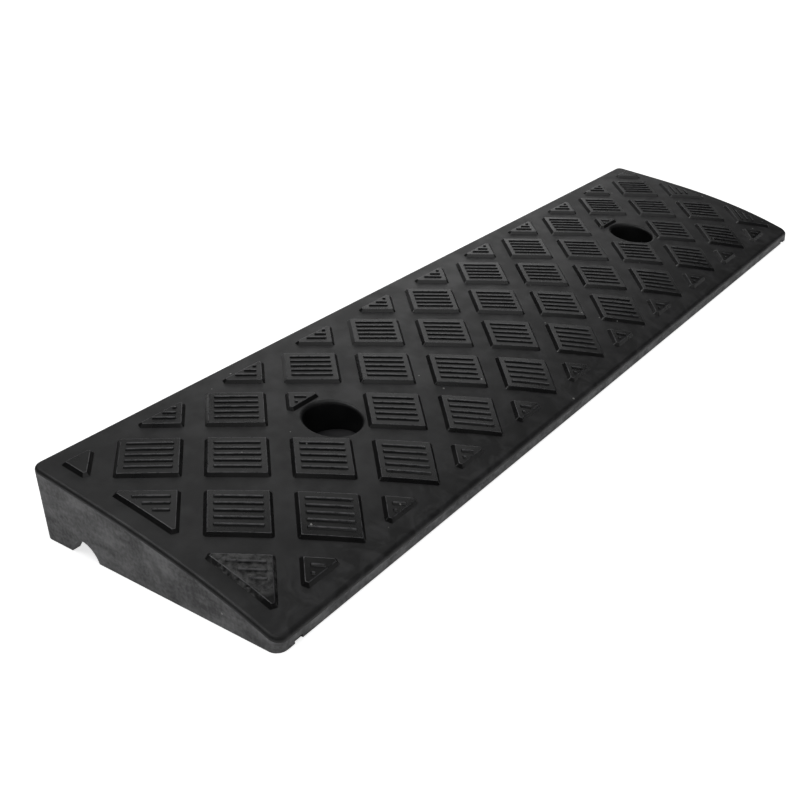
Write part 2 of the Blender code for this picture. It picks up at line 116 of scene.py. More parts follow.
def plan_loop(inset):
    """Half of the block's outline in plan, from the kerb to the nose on the right side.

    It keeps the same count of points at every inset, so that one loop meets the next.
    """
    side = LENGTH / 2.0 - inset
    radius = CORNER_RADIUS - inset
    loop = []
    for step in range(CORNER_STEPS + 1):
        angle = math.pi / 2.0 * (1.0 - step / CORNER_STEPS)
        loop.append((
            side - radius + radius * math.cos(angle),
            WIDTH / 2.0 - inset - radius + radius * math.sin(angle),
        ))
    for k in range(CROWN_STRIPS - 1, 0, -1):
        y = WIDTH * (k / CROWN_STRIPS - 0.5)
        if abs(y) < WIDTH / 2.0 - CORNER_RADIUS - CLEAR_OF_CORNER:
            loop.append((side, y))
    for step in range(CORNER_STEPS + 1):
        angle = -math.pi / 2.0 * step / CORNER_STEPS
        loop.append((
            side - radius + radius * math.cos(angle),
            -WIDTH / 2.0 + inset + radius + radius * math.sin(angle),
        ))
    return loop


def ring_on_block(shape, inset, drop):
    """A loop round the whole block, at a depth below the crown, or on the ground."""
    right = plan_loop(inset)
    left = [(-x, y) for x, y in reversed(right)]
    ring = []
    for x, y in right + left:
        z = 0.0 if drop is None else crown_height(y + WIDTH / 2.0) - drop
        ring.append(shape.verts.new((x, y, z)))
    return ring


# A face's material index says how the mould left it, and holds through every union. The
# index for the pads' rims and the ribs marks a painted highlight, a paler colour where their
# round tops catch the light.
FINISHES = ("moulded_rubber", "trimmed_rubber", "polished_rubber", "highlit_rubber")
GROUND, WALLS, RAISED, PAINTED_HIGHLIGHT = range(len(FINISHES))
block = bmesh.new()
rings = [ring_on_block(block, 0.0, None)]
for step in range(EDGE_STEPS + 1):
    turn = math.pi / 2.0 * step / EDGE_STEPS
    rings.append(ring_on_block(
        block, EDGE_RADIUS * (1.0 - math.cos(turn)), EDGE_RADIUS * (1.0 - math.sin(turn))
    ))
for low, high in zip(rings, rings[1:]):
    for k in range(len(low)):
        after = (k + 1) % len(low)
        face = block.faces.new((low[k], low[after], high[after], high[k]))
        face.material_index = WALLS if low is rings[0] else GROUND
for ring in (rings[0], rings[-1]):
    for k in range(len(ring) // 2 - 1):
        block.faces.new((ring[k], ring[k + 1], ring[-k - 2], ring[-k - 1]))
moulding = as_object(block, "ramp_moulding")


# Tread pads
# The pads are squares that stand on one corner, raised in the same moulding. The mould's
# pockets for them were milled with a round cutter and then polished, so each pad has
# leaning walls, soft corners and a round top edge.

PAD_PITCH = 0.068
PAD_SIDE = 0.0516
PAD_HEIGHT = 0.0028
PAD_DRAFT = 0.0028
PAD_CORNER = 0.0024
PAD_CORNER_STEPS = 4
PAD_EDGE = 0.0009
PAD_EDGE_STEPS = 3
PAD_CREASE = 0.0008
LEAST_ROUNDING = 0.3
SQUARE_WITHIN = 0.1
TIP_CUT = 0.0075
TIP_COSINE = -0.5
FIRST_ROW = 0.0055
END_MARGIN = 0.0163
NOSE_MARGIN = 0.0170
KERB_MARGIN = 0.0164
SMALLEST_PIECE = 0.005
SHORTEST_SIDE = 0.006
FAR_OFF = 9.0
ROOT = 0.001
WELD = 1e-6
HALF_PITCH = PAD_PITCH / math.sqrt(2.0)

HOLE_ROW = 3
HOLE_COLUMN = 6
HOLE_FROM_NOSE = 0.127
REMNANT_FROM_HOLE = 0.0290


def margin_sides(row, column):
    """Sides that cut a pad off, as (direction out, distance, run of the leaning wall)."""
    end = LENGTH / 2.0 - END_MARGIN
    sides = [
        (Vector((-1.0, 0.0)), end, PAD_DRAFT),
        (Vector((1.0, 0.0)), end, PAD_DRAFT),
        (Vector((0.0, -1.0)), -NOSE_MARGIN, PAD_DRAFT),
        (Vector((0.0, 1.0)), SLOPE_LENGTH - KERB_MARGIN, PAD_DRAFT),
    ]
    if row == HOLE_ROW and abs(column) == HOLE_COLUMN:
        reach = reach_up_slope(HOLE_FROM_NOSE + REMNANT_FROM_HOLE)
        sides.append((Vector((0.0, -1.0)), -reach, PAD_DRAFT))
    return sides


def corner_point(out_a, distance_a, out_b, distance_b):
    """Where two sides meet, each given by its direction out and its distance."""
    span = out_a.x * out_b.y - out_a.y * out_b.x
    return Vector((
        distance_a * out_b.y - distance_b * out_a.y,
        distance_b * out_a.x - distance_a * out_b.x,
    )) / span


def sides_left(sides, shortest):
    """The sides that bound the form in common, in order round it, without tiny ones."""
    quarters = ((-1.0, -1.0), (1.0, -1.0), (1.0, 1.0), (-1.0, 1.0))
    form = [(Vector(quarter) * FAR_OFF, None) for quarter in quarters]
    for index, (out, distance, run) in enumerate(sides):
        kept = []
        for (a, side), (b, _) in zip(form, form[1:] + form[:1]):
            room_a = distance - out.dot(a)
            room_b = distance - out.dot(b)
            if room_a >= 0.0:
                kept.append((a, side))
            if room_a * room_b < 0.0:
                crossing = a.lerp(b, room_a / (room_a - room_b))
                kept.append((crossing, index if room_a > 0.0 else side))
        form = kept
    lengths = {}
    for (a, side), (b, _) in zip(form, form[1:] + form[:1]):
        lengths[side] = lengths.get(side, 0.0) + (b - a).length
    found = [sides[side] for side in lengths if lengths[side] > shortest]
    return sorted(found, key=lambda side: math.atan2(side[0].y, side[0].x))


def blunted(sides):
    """The sides of a form with each sharp tip cut off square, as in the mould."""
    found = []
    for side_a, side_b in zip(sides, sides[1:] + sides[:1]):
        found.append(side_a)
        (out_a, distance_a, _), (out_b, distance_b, _) = side_a, side_b
        if out_a.dot(out_b) < TIP_COSINE:
            tip = corner_point(out_a, distance_a, out_b, distance_b)
            out = (out_a + out_b).normalized()
            found.append((out, out.dot(tip) - TIP_CUT, PAD_DRAFT))
    return found


def wall_inset(run, height, edge, z):
    """How far a leaning wall with a round top edge lies inside its foot, at a height."""
    lean = math.atan2(run, height)
    if z <= height - edge + edge * math.sin(lean):
        return run * z / height
    centre = run * (height - edge) / height + edge / math.cos(lean)
    return centre - math.sqrt(max(edge ** 2 - (z - height + edge) ** 2, 0.0))


def round_cornered_loop(sides, insets, corner, crease, steps):
    """Outline of a form whose sides are moved in, with an arc from each side to the next.

    Right-angled corners have the radius of the cutter, and the others are near to sharp.
    """
    loop = []
    count = len(sides)
    for k in range(count):
        (out_a, distance_a, _), inset_a = sides[k], insets[k]
        (out_b, distance_b, _), inset_b = sides[(k + 1) % count], insets[(k + 1) % count]
        size = corner if abs(out_a.dot(out_b)) < SQUARE_WITHIN else crease
        radius = max(size - (inset_a + inset_b) / 2.0, size * LEAST_ROUNDING)
        centre = corner_point(
            out_a, distance_a - inset_a - radius, out_b, distance_b - inset_b - radius
        )
        start = math.atan2(out_a.y, out_a.x)
        turn = math.acos(max(-1.0, min(1.0, out_a.dot(out_b))))
        for step in range(steps + 1):
            angle = start + turn * step / steps
            loop.append(centre + radius * Vector((math.cos(angle), math.sin(angle))))
    return loop


def add_raised_form(shape, sides, base, height, edge, corner, crease, steps, edge_steps, top):
    """Loft a low form of the tread: leaning walls, soft corners and a round top edge.

    Its round edge takes the painted highlight, and top is the finish of its flat top.
    """
    lean = math.atan2(min(run for out, distance, run in sides), height)
    levels = [-ROOT]
    for step in range(edge_steps + 1):
        angle = lean + (math.pi / 2.0 - lean) * step / edge_steps
        levels.append(height - edge + edge * math.sin(angle))
    rings = []
    for z in levels:
        insets = [wall_inset(run, height, edge, z) for out, distance, run in sides]
        loop = round_cornered_loop(sides, insets, corner, crease, steps)
        rings.append([shape.verts.new((place.x, place.y, base + z)) for place in loop])
    for low, high in zip(rings, rings[1:]):
        for k in range(len(low)):
            after = (k + 1) % len(low)
            face = shape.faces.new((low[k], low[after], high[after], high[k]))
            # The round edge above the wall takes the painted highlight.
            face.material_index = RAISED if low is rings[0] else PAINTED_HIGHLIGHT
    shape.faces.new(rings[-1]).material_index = top
    shape.faces.new(rings[0][::-1])


def pad_sites():
    """Sites of the tread's lattice, as (row, column, centre), and its last column."""
    spare = PAD_SIDE / math.sqrt(2.0) - SMALLEST_PIECE
    rows = math.ceil((SLOPE_LENGTH - KERB_MARGIN + spare - FIRST_ROW) / HALF_PITCH)
    columns = math.floor((LENGTH / 2.0 - END_MARGIN + spare) / HALF_PITCH)
    sites = []
    for row in range(rows):
        for column in range(-columns, columns + 1):
            if (row + column) % 2:
                centre = Vector((column * HALF_PITCH, FIRST_ROW + row * HALF_PITCH))
                sites.append((row, column, centre))
    return sites, columns


def lay_on_crown(shape, bends):
    """Cut a flat tread shape at the bend lines and lay it on the crown, straight between."""
    for bend in bends:
        bmesh.ops.bisect_plane(
            shape,
            geom=shape.verts[:] + shape.edges[:] + shape.faces[:],
            dist=WELD,
            plane_co=(0.0, bend, 0.0),
            plane_no=(0.0, 1.0, 0.0),
        )
    lines = [0.0] + bends + [SLOPE_LENGTH]
    for vert in shape.verts:
        x, reach, out = vert.co
        k = min(max(bisect.bisect_right(lines, reach) - 1, 0), len(lines) - 2)
        share = (reach - lines[k]) / (lines[k + 1] - lines[k])
        low_foot, low_normal = crown_frame(lines[k])
        high_foot, high_normal = crown_frame(lines[k + 1])
        place = low_foot.lerp(high_foot, share) + low_normal.lerp(high_normal, share) * out
        vert.co = (x, place.x - WIDTH / 2.0, place.y)


sites, last_column = pad_sites()
pads = bmesh.new()
for row, column, centre in sites:
    diamond = []
    for across, up in ((1, 1), (-1, 1), (-1, -1), (1, -1)):
        out = Vector((across, up)).normalized()
        diamond.append((out, out.dot(centre) + PAD_SIDE / 2.0, PAD_DRAFT))
    sides = blunted(sides_left(diamond + margin_sides(row, column), SHORTEST_SIDE))
    add_raised_form(
        pads, sides, 0.0, PAD_HEIGHT, PAD_EDGE, PAD_CORNER, PAD_CREASE,
        PAD_CORNER_STEPS, PAD_EDGE_STEPS, RAISED,
    )
lay_on_crown(pads, [(low + high) / 2.0 for low, high in zip(CROWN_REACH, CROWN_REACH[1:])])
pads = as_object(pads, "pads")


# Grip ribs
# Five low ribs run across each pad, cut into the mould with a ball-nosed cutter, so they
# have round crests. They give a wheel grip on the way up.

RIBS = 5
RIB_PITCH = 0.00785
RIB_LENGTH = 0.0375
RIB_WIDTH = 0.0029
RIB_HEIGHT = 0.0013
RIB_DRAFT = 0.0007
RIB_CORNER = 0.0007
RIB_CORNER_STEPS = 2
RIB_EDGE = 0.0006
RIB_EDGE_STEPS = 2
RIB_SETBACK = 0.0048
END_SETBACK = 0.0068
SHORTEST_RIB = 0.0028
SHORTEST_AT_END = 0.0065
TOP_ROW = max(row for row, column, centre in sites)


def rib_span(start, along, row, column):
    """The stretch of a rib, as two distances from its middle, that its pad has room for."""
    low, high = -RIB_LENGTH / 2.0, RIB_LENGTH / 2.0
    for out, distance, run in margin_sides(row, column):
        slope = out.dot(along)
        room = distance - (END_SETBACK if out.x else RIB_SETBACK) - out.dot(start)
        if slope > 0.0:
            high = min(high, room / slope)
        elif slope < 0.0:
            low = max(low, room / slope)
    return low, high


ribs = bmesh.new()
for row, column, centre in sites:
    hand = -1.0 if column == last_column else 1.0
    along = Vector((hand, -1.0)).normalized()
    across = Vector((hand, 1.0)).normalized()
    for index in range(RIBS):
        start = centre + across * RIB_PITCH * (index - (RIBS - 1) / 2.0)
        low, high = rib_span(start, along, row, column)
        corner_piece = abs(column) >= last_column - 1 and row == TOP_ROW
        shortest = SHORTEST_AT_END if abs(column) == last_column else SHORTEST_RIB
        if high - low > shortest and not corner_piece:
            sides = [
                (along, along.dot(start) + high, RIB_DRAFT),
                (across, across.dot(start) + RIB_WIDTH / 2.0, RIB_DRAFT),
                (-along, -along.dot(start) - low, RIB_DRAFT),
                (-across, -across.dot(start) + RIB_WIDTH / 2.0, RIB_DRAFT),
            ]
            sides.sort(key=lambda side: math.atan2(side[0].y, side[0].x))
            # A rib's round edge and top take the painted highlight.
            add_raised_form(
                ribs, sides, PAD_HEIGHT, RIB_HEIGHT, RIB_EDGE, RIB_CORNER, RIB_CORNER,
                RIB_CORNER_STEPS, RIB_EDGE_STEPS, PAINTED_HIGHLIGHT,
            )
lay_on_crown(ribs, CROWN_REACH[1:-1])
ribs = as_object(ribs, "ribs")


# Anchor holes
# A counterbore with a rounded mouth goes down to a seat for a steel washer, with a plain
# bolt hole through the rubber below. A steel pin in the mould forms each one.

COUNTERBORE_RADIUS = 0.0253
RIM_RADIUS = 0.0032
RIM_DEGREES = range(78, -1, -13)
SEAT_HEIGHT = 0.018
BOLT_HOLE_RADIUS = 0.009
HOLE_FACETS = 96
HOLE_X = HOLE_COLUMN * HALF_PITCH
HOLE_Y = HOLE_FROM_NOSE - WIDTH / 2.0
OVERRUN = 0.005


def turned(profile, facets):
    """A solid turned about Z from a profile (radius, height) that runs down its outer side."""
    shape = bmesh.new()
    corners = [shape.verts.new((radius, 0.0, height)) for radius, height in profile]
    edges = [shape.edges.new(pair) for pair in zip(corners, corners[1:])]
    bmesh.ops.spin(
        shape, geom=corners + edges, cent=(0.0, 0.0, 0.0), axis=(0.0, 0.0, 1.0),
        angle=2.0 * math.pi, steps=facets, use_merge=True,
    )
    bmesh.ops.remove_doubles(shape, verts=shape.verts[:], dist=WELD)
    return shape


def anchor_hole(x, name):
    """The space of one anchor hole. Its mouth follows the slope of the crown."""
    level = KERB_HEIGHT
    mouth = COUNTERBORE_RADIUS + RIM_RADIUS
    above = level + 2.0 * RIM_RADIUS
    profile = [(0.0, above), (mouth + RIM_RADIUS, above)]
    for degrees in RIM_DEGREES:
        turn = math.radians(degrees)
        radius = mouth - RIM_RADIUS * math.cos(turn)
        profile.append((radius, level + RIM_RADIUS * (math.sin(turn) - 1.0)))
    profile += [
        (COUNTERBORE_RADIUS, SEAT_HEIGHT),
        (BOLT_HOLE_RADIUS, SEAT_HEIGHT),
        (BOLT_HOLE_RADIUS, -OVERRUN),
        (0.0, -OVERRUN),
    ]
    shape = turned(profile, HOLE_FACETS)
    for vert in shape.verts:
        if vert.co.z > SEAT_HEIGHT + RIM_RADIUS:
            vert.co.z -= level - crown_height(HOLE_FROM_NOSE + vert.co.y)
        vert.co += Vector((x, HOLE_Y, 0.0))
    return as_object(shape, name)


holes = [anchor_hole(-HOLE_X, "hole_left"), anchor_hole(HOLE_X, "hole_right")]


# Underside
# The moulding is hollow below to save rubber, with webs between its pockets that carry a
# wheel's load. A low arch under the kerb side takes a cable, and two small notches in the
# nose take a lever. At the end of this section the solids become one moulding.

WALL = 0.007
CROWN_THICKNESS = 0.013
WEB = 0.008
NOSE_SOLID = 0.030
CELL_COLUMNS = 14
CELL_ROWS = 3
CELL_CORNER = 0.004
CELL_CORNER_STEPS = 4
CELL_DRAFT = math.tan(math.radians(1.0))
CORE_STRIDE = 4
BOSS_RADIUS = 0.036
BOSS_FACETS = 64
CHANNEL_FROM_NOSE = 0.199
CHANNEL_WIDTH = 0.032
CHANNEL_HEIGHT = 0.0142
ARCH_KERB_STEPS = 8
ARCH_NOSE_STEPS = 10
NOTCH_FROM_END = 0.016
NOTCH_WIDTH = 0.008
NOTCH_HEIGHT = 0.003
NOTCH_DEPTH = 0.0018


def rounded(shape, edges, radius, segments):
    """Round the given edges of a bmesh."""
    bmesh.ops.bevel(
        shape, geom=edges, offset=radius, offset_type="OFFSET", segments=segments,
        profile=0.5, affect="EDGES", clamp_overlap=False,
    )


def extruded_along_x(outline, half_length):
    """A solid with the given outline (from nose, height) all along X."""
    shape = bmesh.new()
    corners = [
        shape.verts.new((-half_length, from_nose - WIDTH / 2.0, height))
        for from_nose, height in outline
    ]
    end = shape.faces.new(corners)
    grown = bmesh.ops.extrude_face_region(shape, geom=[end])["geom"]
    moved = [part for part in grown if isinstance(part, bmesh.types.BMVert)]
    bmesh.ops.translate(shape, vec=(2.0 * half_length, 0.0, 0.0), verts=moved)
    bmesh.ops.recalc_face_normals(shape, faces=shape.faces[:])
    return shape


def add_box(shape, low, high, draft=0.0):
    """Add a block to a bmesh, drawn in by draft on each side at its top."""
    low, high = Vector(low), Vector(high)
    middle = (low + high) / 2.0
    made = bmesh.ops.create_cube(shape, size=1.0)["verts"]
    bmesh.ops.scale(shape, vec=high - low, verts=made)
    bmesh.ops.translate(shape, vec=middle, verts=made)
    for vert in made:
        if vert.co.z > middle.z:
            vert.co.x -= math.copysign(draft, vert.co.x - middle.x)
            vert.co.y -= math.copysign(draft, vert.co.y - middle.y)
    return made


def combine(target, other, operation):
    """Join another solid to the target, or cut it away, and clear it up."""
    step = target.modifiers.new("step", "BOOLEAN")
    step.operation = operation
    step.solver = "EXACT"
    step.object = other
    view = bpy.context.evaluated_depsgraph_get()
    mesh = bpy.data.meshes.new_from_object(target.evaluated_get(view))
    target.modifiers.clear()
    target.data = mesh
    bpy.data.objects.remove(other, do_unlink=True)


column_pitch = (LENGTH - 2.0 * WALL + WEB) / CELL_COLUMNS
row_pitch = (WIDTH - WALL - NOSE_SOLID + WEB) / CELL_ROWS
cells = bmesh.new()
for column in range(CELL_COLUMNS):
    left = -LENGTH / 2.0 + WALL + column * column_pitch
    for row in range(CELL_ROWS):
        front = NOSE_SOLID - WIDTH / 2.0 + row * row_pitch
        corners = add_box(
            cells, (left, front, -OVERRUN),
            (left + column_pitch - WEB, front + row_pitch - WEB, KERB_HEIGHT),
            CELL_DRAFT * (KERB_HEIGHT + OVERRUN),
        )
        uprights = []
        for vert in corners:
            for edge in vert.link_edges:
                steep = abs(edge.verts[0].co.z - edge.verts[1].co.z) > OVERRUN
                if steep and edge not in uprights:
                    uprights.append(edge)
        rounded(cells, uprights, CELL_CORNER, CELL_CORNER_STEPS)
cells = as_object(cells, "cells")
core_outline = [(WIDTH, -2.0 * OVERRUN), (0.0, -2.0 * OVERRUN)]
for reach in CROWN_REACH[::CORE_STRIDE]:
    foot, normal = crown_frame(reach)
    core_outline.append(foot - normal * CROWN_THICKNESS)
combine(cells, as_object(extruded_along_x(core_outline, LENGTH / 2.0), "core"), "INTERSECT")
bosses = bmesh.new()
boss_height = KERB_HEIGHT + 2.0 * OVERRUN
for x in (-HOLE_X, HOLE_X):
    bmesh.ops.create_cone(
        bosses, cap_ends=True, segments=BOSS_FACETS,
        radius1=BOSS_RADIUS, radius2=BOSS_RADIUS + CELL_DRAFT * boss_height, depth=boss_height,
        matrix=Matrix.Translation((x, HOLE_Y, boss_height / 2.0 - 2.0 * OVERRUN)),
    )
combine(cells, as_object(bosses, "bosses"), "DIFFERENCE")


def bezier(start, start_handle, end_handle, end, steps):
    """Points of one Bezier stretch, without its last point."""
    points = []
    for k in range(steps):
        t = k / steps
        points.append(
            start * (1.0 - t) ** 3 + start_handle * 3.0 * t * (1.0 - t) ** 2
            + end_handle * 3.0 * t * t * (1.0 - t) + end * t ** 3
        )
    return points


# The arch leans: its handles are shares of its half width and height, read off the photo.
half = CHANNEL_WIDTH / 2.0
kerb_foot = Vector((CHANNEL_FROM_NOSE + half, 0.0))
nose_foot = Vector((CHANNEL_FROM_NOSE - half, 0.0))
crest = Vector((CHANNEL_FROM_NOSE + half / 16.0, CHANNEL_HEIGHT))
arch = bezier(
    kerb_foot, kerb_foot + Vector((-0.34 * half, 0.53 * CHANNEL_HEIGHT)),
    crest + Vector((0.34 * half, 0.0)), crest, ARCH_KERB_STEPS,
) + bezier(
    crest, crest - Vector((0.53 * half, 0.0)),
    nose_foot + Vector((0.08 * half, 0.46 * CHANNEL_HEIGHT)), nose_foot, ARCH_NOSE_STEPS,
)
below = Vector((0.0, -OVERRUN))
outline = [nose_foot, nose_foot + below, kerb_foot + below] + arch
channel = as_object(extruded_along_x(outline, LENGTH / 2.0 + OVERRUN), "channel")

notches = bmesh.new()
for hand in (-1.0, 1.0):
    middle = hand * (LENGTH / 2.0 - NOTCH_FROM_END - NOTCH_WIDTH / 2.0)
    add_box(
        notches,
        (middle - NOTCH_WIDTH / 2.0, -WIDTH / 2.0 - OVERRUN, -OVERRUN),
        (middle + NOTCH_WIDTH / 2.0, -WIDTH / 2.0 + NOTCH_DEPTH, NOTCH_HEIGHT),
    )
notches = as_object(notches, "notches")

for solid in [moulding, pads, ribs, cells, channel, notches] + holes:
    for name in FINISHES:
        solid.data.materials.append(bpy.data.materials.get(name) or bpy.data.materials.new(name))
combine(moulding, pads, "UNION")
combine(moulding, ribs, "UNION")
for space in [cells, channel, notches] + holes:
    combine(moulding, space, "DIFFERENCE")


# Rubber finishes
# The whole moulding is one black rubber with carbon filler. Its surface changes with the
# steel that it was pressed against: blasted on the ground of the tread, polished in the
# pads' pockets, and dragged along the mould's rim on the outer walls.


def linear(code):
    """An sRGB hex colour as linear red, green, blue and alpha."""
    values = []
    for start in (0, 2, 4):
        share = int(code[start:start + 2], 16) / 255.0
        values.append(share / 12.92 if share <= 0.04045 else ((share + 0.055) / 1.055) ** 2.4)
    return (*values, 1.0)


def add(tree, kind, inputs={}, **settings):
    """Add a shader node with its settings, and give each input a value or a link.

    A link is a socket, or a node, which stands for its first output in use.
    """
    made = tree.nodes.new("ShaderNode" + kind)
    for name, value in settings.items():
        setattr(made, name, value)
    for name, value in inputs.items():
        if isinstance(value, bpy.types.Node):
            value = next(socket for socket in value.outputs if socket.enabled)
        if isinstance(value, bpy.types.NodeSocket):
            tree.links.new(value, made.inputs[name])
        else:
            made.inputs[name].default_value = value
    return made


def emptied(name):
    """The node tree of a material, without nodes. The material is made if it is new."""
    finish = bpy.data.materials.get(name) or bpy.data.materials.new(name)
    finish.use_nodes = True
    finish.node_tree.nodes.clear()
    return finish.node_tree


def flecks(tree, place, spacing, radius, share):
    """One where a fleck lies: round dots of a radius in metres, in some cells of a grid."""
    cells = add(
        tree, "TexVoronoi", {"Vector": place, "Scale": 1.0 / spacing}, voronoi_dimensions="2D"
    )
    chance = add(tree, "SeparateColor", {"Color": cells.outputs["Color"]}).outputs
    size = add(tree, "Math", {0: chance[1], 1: radius / spacing}, operation="MULTIPLY")
    near = add(tree, "Math", {0: cells.outputs["Distance"], 1: size}, operation="LESS_THAN")
    chosen = add(tree, "Math", {0: chance[0], 1: share}, operation="LESS_THAN")
    return add(tree, "Math", {0: near, 1: chosen}, operation="MULTIPLY")


# Inputs of a Mix node for colours: the share of the second colour, and the two colours.
SHARE, FIRST, SECOND = 0, 6, 7

# The ground of the tread comes from a blasted mould: nearly black, with a broad sheen that
# changes from patch to patch, where the release agent lay thicker. Noise scales are in
# features per metre: the patches are 67 mm and their mottle is 17 mm. Blasted grain of
# 0.1 mm is too fine to show here, so it is drawn at 1.1 mm.
tree = emptied(FINISHES[GROUND])
place = add(tree, "TexCoord").outputs["Object"]
patches = add(tree, "TexNoise", {"Vector": place, "Scale": 15.0, "Detail": 3.0})
mottle = add(tree, "TexNoise", {"Vector": place, "Scale": 60.0, "Detail": 6.0})
film = add(tree, "Math", {0: mottle, 1: 0.8, 2: patches}, operation="MULTIPLY_ADD")
film = add(tree, "MapRange", {"Value": film, "From Min": 0.75, "From Max": 1.15})
shade = add(
    tree, "Mix", {SHARE: film, FIRST: linear("0b0b0c"), SECOND: linear("212122")},
    data_type="RGBA",
)
# Along the nose the rubber met cold steel, and its flow shows as curled paler marks.
spot = add(tree, "SeparateXYZ", {"Vector": place}).outputs
by_nose = add(
    tree, "MapRange", {"Value": spot["Y"], "From Min": -0.070, "From Max": -0.105, "To Max": 0.8}
)
flow = add(
    tree, "TexNoise", {"Vector": place, "Scale": 42.0, "Detail": 6.0, "Distortion": 1.6}
)
flow = add(tree, "MapRange", {"Value": flow, "From Min": 0.46, "From Max": 0.66})
flow = add(tree, "Math", {0: by_nose, 1: flow}, operation="MULTIPLY")
shade = add(
    tree, "Mix", {SHARE: flow, FIRST: shade, SECOND: linear("343435")}, data_type="RGBA"
)
# Dust and crumbs of trim sit on it as pale flecks of 1 mm.
crumbs = flecks(tree, place, 0.030, 0.0011, 0.14)
shade = add(
    tree, "Mix", {SHARE: crumbs, FIRST: shade, SECOND: linear("8c8c8a")}, data_type="RGBA"
)
sheen = add(tree, "MapRange", {"Value": film, "To Min": 0.52, "To Max": 0.43})
grain = add(tree, "TexNoise", {"Vector": place, "Scale": 900.0, "Detail": 2.0})
grain = add(tree, "Bump", {"Strength": 0.25, "Distance": 0.0002, "Height": grain})
rubber = add(
    tree, "BsdfPrincipled", {"Base Color": shade, "Roughness": sheen, "Normal": grain}
)
add(tree, "OutputMaterial", {"Surface": rubber})

# The pads come from polished pockets, so they are darker, with a tighter sheen. It hazes
# over in spots of 33 mm, and the marks of the polishing are 4 mm.
tree = emptied(FINISHES[RAISED])
place = add(tree, "TexCoord").outputs["Object"]
haze = add(tree, "TexNoise", {"Vector": place, "Scale": 30.0, "Detail": 6.0})
haze = add(tree, "MapRange", {"Value": haze, "From Min": 0.35, "From Max": 0.65})
shade = add(
    tree, "Mix", {SHARE: haze, FIRST: linear("09090a"), SECOND: linear("111111")},
    data_type="RGBA",
)
crumbs = flecks(tree, place, 0.024, 0.0010, 0.16)
shade = add(
    tree, "Mix", {SHARE: crumbs, FIRST: shade, SECOND: linear("9a9a98")}, data_type="RGBA"
)
sheen = add(tree, "MapRange", {"Value": haze, "To Min": 0.25, "To Max": 0.33})
marks = add(tree, "TexNoise", {"Vector": place, "Scale": 260.0, "Detail": 4.0})
# One half pad by the near corner stuck to the mould, which left it torn and pale.
TORN_PAD = (-0.470, -0.070, 0.026)
TORN_WITHIN = 0.025
TORN_FADE = 0.030
from_tear = add(tree, "VectorMath", {0: place, 1: TORN_PAD}, operation="DISTANCE")
torn = add(tree, "MapRange", {
    "Value": from_tear, "From Min": TORN_WITHIN, "From Max": TORN_FADE,
    "To Min": 1.0, "To Max": 0.0,
})
scar = add(tree, "TexNoise", {"Vector": place, "Scale": 240.0, "Detail": 6.0})
scar = add(tree, "MapRange", {"Value": scar, "From Min": 0.40, "From Max": 0.64})
scar = add(tree, "Math", {0: torn, 1: scar}, operation="MULTIPLY")
shade = add(
    tree, "Mix", {SHARE: scar, FIRST: shade, SECOND: linear("4c4c4c")}, data_type="RGBA"
)
sheen = add(tree, "Math", {0: torn, 1: 0.14, 2: sheen}, operation="MULTIPLY_ADD")
relief = add(tree, "Math", {0: marks, 1: 0.04, 2: scar}, operation="MULTIPLY_ADD")
relief = add(tree, "Bump", {"Strength": 0.6, "Distance": 0.0004, "Height": relief})
rubber = add(
    tree, "BsdfPrincipled", {"Base Color": shade, "Roughness": sheen, "Normal": relief}
)
add(tree, "OutputMaterial", {"Surface": rubber})

# The pads' rims and the ribs stand highest. Their round tops are painted paler than the rest,
# as a highlight where they catch the light, in spots of 6 mm.
tree = emptied(FINISHES[PAINTED_HIGHLIGHT])
place = add(tree, "TexCoord").outputs["Object"]
highlight_spots = add(tree, "TexNoise", {"Vector": place, "Scale": 170.0, "Detail": 5.0})
highlight_spots = add(tree, "MapRange", {"Value": highlight_spots, "From Min": 0.35, "From Max": 0.65})
# Painted highlight: these pale colours stand in for light caught on the rims and crests.
shade = add(
    tree, "Mix", {SHARE: highlight_spots, FIRST: linear("2e2e30"), SECOND: linear("565658")},
    data_type="RGBA",
)
sheen = add(tree, "MapRange", {"Value": highlight_spots, "To Min": 0.26, "To Max": 0.38})
rubber = add(tree, "BsdfPrincipled", {"Base Color": shade, "Roughness": sheen})
add(tree, "OutputMaterial", {"Surface": rubber})

# The outer walls are dull and grey with bloom, the upright face of the nose too. The bloom
# is smeared where the ramp was drawn over the rim of the mould, in level streaks that are
# 38 mm long and 8 mm high on the end faces, over clouds of 29 mm and a grain of 3 mm.
SMEARS_PER_METRE = (70.0, 26.0, 120.0)
NOISE_TURN = (math.radians(22.0), 0.0, 0.0)
tree = emptied(FINISHES[WALLS])
place = add(tree, "TexCoord").outputs["Object"]
# The turn follows the scaling, so it doesn't lean the streaks. It only picks the noise.
smeared = add(
    tree, "Mapping", {"Vector": place, "Rotation": NOISE_TURN, "Scale": SMEARS_PER_METRE}
)
streaks = add(tree, "TexNoise", {"Vector": smeared, "Scale": 1.0, "Detail": 7.0})
clouds = add(tree, "TexNoise", {"Vector": place, "Scale": 34.0, "Detail": 5.0})
grain = add(tree, "TexNoise", {"Vector": place, "Scale": 330.0, "Detail": 5.0})
bloom = add(tree, "Math", {0: streaks, 1: 0.8, 2: clouds}, operation="MULTIPLY_ADD")
bloom = add(tree, "Math", {0: grain, 1: 0.7, 2: bloom}, operation="MULTIPLY_ADD")
bloom = add(tree, "MapRange", {"Value": bloom, "From Min": 0.98, "From Max": 1.52})
shade = add(
    tree, "Mix", {SHARE: bloom, FIRST: linear("4c4c4d"), SECOND: linear("929293")},
    data_type="RGBA",
)
# Handling rubbed it off again in darker patches of 42 mm.
rubbed = add(tree, "TexNoise", {"Vector": place, "Scale": 24.0, "Detail": 3.0})
rubbed = add(
    tree, "MapRange", {"Value": rubbed, "From Min": 0.60, "From Max": 0.70, "To Max": 0.6}
)
shade = add(
    tree, "Mix", {SHARE: rubbed, FIRST: shade, SECOND: linear("363637")}, data_type="RGBA"
)
